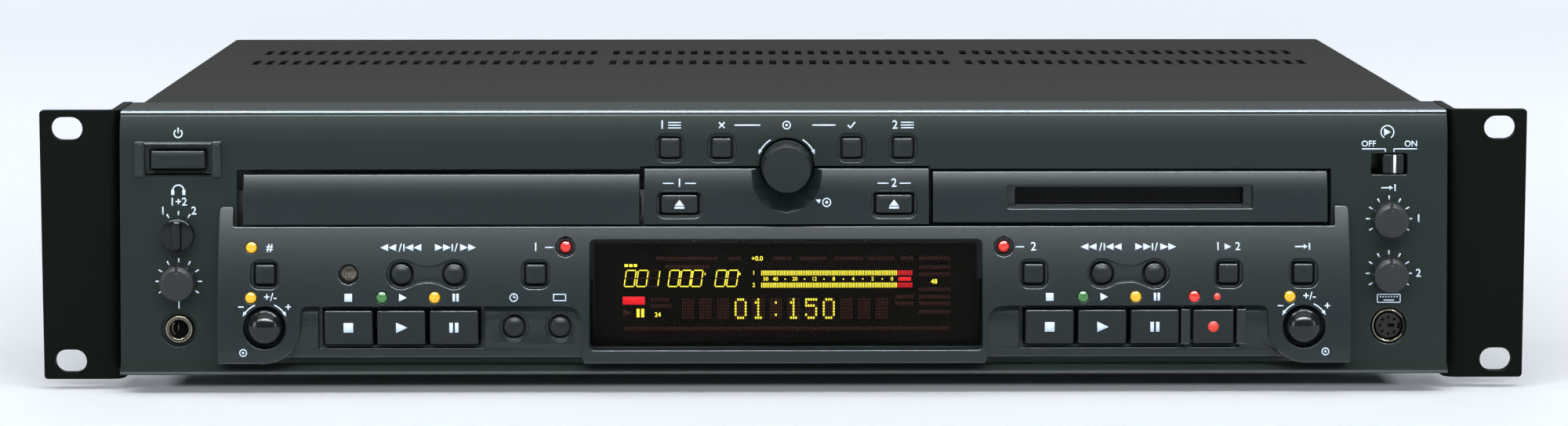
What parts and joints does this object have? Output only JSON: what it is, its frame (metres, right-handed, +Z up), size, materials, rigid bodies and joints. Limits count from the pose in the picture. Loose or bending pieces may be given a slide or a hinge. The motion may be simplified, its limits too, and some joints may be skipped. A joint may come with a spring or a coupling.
{
  "type": "rack minidisc deck",
  "caption": "Rack-mount minidisc and disc deck with a disc tray, a minidisc slot, a display, push keys, turning knobs and slotted ears.",
  "frame": {"origin": "centre of the bounding box, at the bottom of the feet", "axes": "+X to the right seen from the front, +Y towards the back, +Z up"},
  "size_m": [0.4826, 0.3224, 0.092],
  "materials": {
    "panel_plastic": "fine matt grain, dark greenish charcoal",
    "escutcheon_plastic": "satin bluish charcoal",
    "lens": "smoked clear, nearly black",
    "module": "dark display face",
    "board": "green laminate with black parts",
    "ear_steel": "black satin paint",
    "cover_steel": "dark brownish grey satin coat",
    "chassis_steel": "zinc plated sheet",
    "tray_plastic": "black matt",
    "key_plastic": "dark charcoal satin",
    "knob_plastic": "dark grey soft grain",
    "gloss_plastic": "black, polished",
    "socket_nickel": "nickel plated ring",
    "foot_rubber": "black"
  },
  "bodies": {
    "deck": {"front_panel": "panel_plastic", "control_escutcheon": "escutcheon_plastic", "centre_plate": "escutcheon_plastic", "minidisc_front": "escutcheon_plastic", "display_lens": "lens", "display_module": "module", "control_board": "board", "main_board": "board", "rack_ear_left": "ear_steel", "rack_ear_right": "ear_steel", "top_cover": "cover_steel", "chassis_tray": "chassis_steel", "disc_mechanism": "chassis_steel", "minidisc_mechanism": "chassis_steel", "phones_jack": "socket_nickel", "keyboard_socket": "socket_nickel", "foot_front_left": "foot_rubber", "foot_front_right": "foot_rubber", "foot_rear_left": "foot_rubber", "foot_rear_right": "foot_rubber"},
    "disc_tray": {"disc_tray": "tray_plastic", "tray_door": "escutcheon_plastic"},
    "disc_turntable": {"disc_turntable": "tray_plastic"},
    "minidisc_slot_flap": {"minidisc_slot_flap": "tray_plastic"},
    "power_button": {"power_button": "key_plastic"},
    "menu_button_outer_left": {"menu_button_outer_left": "key_plastic"},
    "menu_button_inner_left": {"menu_button_inner_left": "key_plastic"},
    "menu_button_inner_right": {"menu_button_inner_right": "key_plastic"},
    "menu_button_outer_right": {"menu_button_outer_right": "key_plastic"},
    "open_close_button": {"open_close_button": "key_plastic"},
    "eject_button": {"eject_button": "key_plastic"},
    "key_button": {"key_button": "key_plastic"},
    "disc_source_button": {"disc_source_button": "key_plastic"},
    "minidisc_source_button": {"minidisc_source_button": "key_plastic"},
    "dubbing_button": {"dubbing_button": "key_plastic"},
    "input_select_button": {"input_select_button": "key_plastic"},
    "disc_skip_back_button": {"disc_skip_back_button": "key_plastic"},
    "disc_skip_forward_button": {"disc_skip_forward_button": "key_plastic"},
    "minidisc_skip_back_button": {"minidisc_skip_back_button": "key_plastic"},
    "minidisc_skip_forward_button": {"minidisc_skip_forward_button": "key_plastic"},
    "time_button": {"time_button": "key_plastic"},
    "display_button": {"display_button": "key_plastic"},
    "disc_stop_key": {"disc_stop_key": "key_plastic"},
    "disc_play_key": {"disc_play_key": "key_plastic"},
    "disc_ready_key": {"disc_ready_key": "key_plastic"},
    "minidisc_stop_key": {"minidisc_stop_key": "key_plastic"},
    "minidisc_play_key": {"minidisc_play_key": "key_plastic"},
    "minidisc_ready_key": {"minidisc_ready_key": "key_plastic"},
    "minidisc_record_key": {"minidisc_record_key": "key_plastic"},
    "slide_switch_cap": {"slide_switch_cap": "key_plastic"},
    "phones_volume_knob": {"phones_volume_knob": "knob_plastic"},
    "input_knob_left": {"input_knob_left": "knob_plastic"},
    "input_knob_right": {"input_knob_right": "knob_plastic"},
    "phones_selector": {"phones_selector": "knob_plastic"},
    "jog_shaft": {"jog_shaft": "chassis_steel"},
    "jog_knob": {"jog_knob": "knob_plastic"},
    "pitch_shaft_left": {"pitch_shaft_left": "chassis_steel"},
    "pitch_knob_left": {"pitch_knob_left": "gloss_plastic"},
    "pitch_shaft_right": {"pitch_shaft_right": "chassis_steel"},
    "pitch_knob_right": {"pitch_knob_right": "gloss_plastic"}
  },
  "joints": [
    {"name": "disc_tray_slide", "type": "slide", "parent": "deck", "child": "disc_tray", "axis": [0, -1, 0], "range_m": [0, 0.14]},
    {"name": "disc_turntable_spin", "type": "hinge", "parent": "deck", "child": "disc_turntable", "pos_m": [-0.1109, -0.07175, 0.056], "axis": [0, 0, 1], "continuous": true},
    {"name": "minidisc_slot_flap_swing", "type": "hinge", "parent": "deck", "child": "minidisc_slot_flap", "pos_m": [0.11175, -0.14174, 0.0662], "axis": [1, 0, 0], "range_deg": [0, 80], "stiffness_Nm_per_rad": 0.001},
    {"name": "power_button_push", "type": "slide", "parent": "deck", "child": "power_button", "axis": [0, 1, 0], "range_m": [0, 0.0025], "stiffness_N_per_m": 300},
    {"name": "menu_button_outer_left_push", "type": "slide", "parent": "deck", "child": "menu_button_outer_left", "axis": [0, 1, 0], "range_m": [0, 0.001], "stiffness_N_per_m": 300},
    {"name": "menu_button_inner_left_push", "type": "slide", "parent": "deck", "child": "menu_button_inner_left", "axis": [0, 1, 0], "range_m": [0, 0.001], "stiffness_N_per_m": 300},
    {"name": "menu_button_inner_right_push", "type": "slide", "parent": "deck", "child": "menu_button_inner_right", "axis": [0, 1, 0], "range_m": [0, 0.001], "stiffness_N_per_m": 300},
    {"name": "menu_button_outer_right_push", "type": "slide", "parent": "deck", "child": "menu_button_outer_right", "axis": [0, 1, 0], "range_m": [0, 0.001], "stiffness_N_per_m": 300},
    {"name": "open_close_button_push", "type": "slide", "parent": "deck", "child": "open_close_button", "axis": [0, 1, 0], "range_m": [0, 0.001], "stiffness_N_per_m": 300},
    {"name": "eject_button_push", "type": "slide", "parent": "deck", "child": "eject_button", "axis": [0, 1, 0], "range_m": [0, 0.001], "stiffness_N_per_m": 300},
    {"name": "key_button_push", "type": "slide", "parent": "deck", "child": "key_button", "axis": [0, 1, 0], "range_m": [0, 0.001], "stiffness_N_per_m": 300},
    {"name": "disc_source_button_push", "type": "slide", "parent": "deck", "child": "disc_source_button", "axis": [0, 1, 0], "range_m": [0, 0.001], "stiffness_N_per_m": 300},
    {"name": "minidisc_source_button_push", "type": "slide", "parent": "deck", "child": "minidisc_source_button", "axis": [0, 1, 0], "range_m": [0, 0.001], "stiffness_N_per_m": 300},
    {"name": "dubbing_button_push", "type": "slide", "parent": "deck", "child": "dubbing_button", "axis": [0, 1, 0], "range_m": [0, 0.001], "stiffness_N_per_m": 300},
    {"name": "input_select_button_push", "type": "slide", "parent": "deck", "child": "input_select_button", "axis": [0, 1, 0], "range_m": [0, 0.001], "stiffness_N_per_m": 300},
    {"name": "disc_skip_back_button_push", "type": "slide", "parent": "deck", "child": "disc_skip_back_button", "axis": [0, 1, 0], "range_m": [0, 0.001], "stiffness_N_per_m": 300},
    {"name": "disc_skip_forward_button_push", "type": "slide", "parent": "deck", "child": "disc_skip_forward_button", "axis": [0, 1, 0], "range_m": [0, 0.001], "stiffness_N_per_m": 300},
    {"name": "minidisc_skip_back_button_push", "type": "slide", "parent": "deck", "child": "minidisc_skip_back_button", "axis": [0, 1, 0], "range_m": [0, 0.001], "stiffness_N_per_m": 300},
    {"name": "minidisc_skip_forward_button_push", "type": "slide", "parent": "deck", "child": "minidisc_skip_forward_button", "axis": [0, 1, 0], "range_m": [0, 0.001], "stiffness_N_per_m": 300},
    {"name": "time_button_push", "type": "slide", "parent": "deck", "child": "time_button", "axis": [0, 1, 0], "range_m": [0, 0.001], "stiffness_N_per_m": 300},
    {"name": "display_button_push", "type": "slide", "parent": "deck", "child": "display_button", "axis": [0, 1, 0], "range_m": [0, 0.001], "stiffness_N_per_m": 300},
    {"name": "disc_stop_key_push", "type": "slide", "parent": "deck", "child": "disc_stop_key", "axis": [0, 1, 0], "range_m": [0, 0.001], "stiffness_N_per_m": 300},
    {"name": "disc_play_key_push", "type": "slide", "parent": "deck", "child": "disc_play_key", "axis": [0, 1, 0], "range_m": [0, 0.001], "stiffness_N_per_m": 300},
    {"name": "disc_ready_key_push", "type": "slide", "parent": "deck", "child": "disc_ready_key", "axis": [0, 1, 0], "range_m": [0, 0.001], "stiffness_N_per_m": 300},
    {"name": "minidisc_stop_key_push", "type": "slide", "parent": "deck", "child": "minidisc_stop_key", "axis": [0, 1, 0], "range_m": [0, 0.001], "stiffness_N_per_m": 300},
    {"name": "minidisc_play_key_push", "type": "slide", "parent": "deck", "child": "minidisc_play_key", "axis": [0, 1, 0], "range_m": [0, 0.001], "stiffness_N_per_m": 300},
    {"name": "minidisc_ready_key_push", "type": "slide", "parent": "deck", "child": "minidisc_ready_key", "axis": [0, 1, 0], "range_m": [0, 0.001], "stiffness_N_per_m": 300},
    {"name": "minidisc_record_key_push", "type": "slide", "parent": "deck", "child": "minidisc_record_key", "axis": [0, 1, 0], "range_m": [0, 0.001], "stiffness_N_per_m": 300},
    {"name": "slide_switch_cap_slide", "type": "slide", "parent": "deck", "child": "slide_switch_cap", "axis": [1, 0, 0], "range_m": [-0.0028, 0]},
    {"name": "phones_volume_knob_turn", "type": "hinge", "parent": "deck", "child": "phones_volume_knob", "pos_m": [-0.1961, -0.14175, 0.037], "axis": [0, 1, 0], "range_deg": [-150, 150]},
    {"name": "input_knob_left_turn", "type": "hinge", "parent": "deck", "child": "input_knob_left", "pos_m": [0.1961, -0.14175, 0.0568], "axis": [0, 1, 0], "range_deg": [-150, 150]},
    {"name": "input_knob_right_turn", "type": "hinge", "parent": "deck", "child": "input_knob_right", "pos_m": [0.1961, -0.14175, 0.0391], "axis": [0, 1, 0], "range_deg": [-150, 150]},
    {"name": "phones_selector_turn", "type": "hinge", "parent": "deck", "child": "phones_selector", "pos_m": [-0.1961, -0.14175, 0.0522], "axis": [0, 1, 0], "range_deg": [-30, 30]},
    {"name": "jog_shaft_push", "type": "slide", "parent": "deck", "child": "jog_shaft", "axis": [0, 1, 0], "range_m": [0, 0.0008], "stiffness_N_per_m": 300},
    {"name": "jog_knob_turn", "type": "hinge", "parent": "jog_shaft", "child": "jog_knob", "pos_m": [0.0007, -0.14175, 0.0742], "axis": [0, 1, 0], "continuous": true},
    {"name": "pitch_shaft_left_push", "type": "slide", "parent": "deck", "child": "pitch_shaft_left", "axis": [0, 1, 0], "range_m": [0, 0.0008], "stiffness_N_per_m": 300},
    {"name": "pitch_knob_left_turn", "type": "hinge", "parent": "pitch_shaft_left", "child": "pitch_knob_left", "pos_m": [-0.1676, -0.14175, 0.023], "axis": [0, 1, 0], "continuous": true},
    {"name": "pitch_shaft_right_push", "type": "slide", "parent": "deck", "child": "pitch_shaft_right", "axis": [0, 1, 0], "range_m": [0, 0.0008], "stiffness_N_per_m": 300},
    {"name": "pitch_knob_right_turn", "type": "hinge", "parent": "pitch_shaft_right", "child": "pitch_knob_right", "pos_m": [0.1676, -0.14175, 0.023], "axis": [0, 1, 0], "continuous": true}
  ]
}
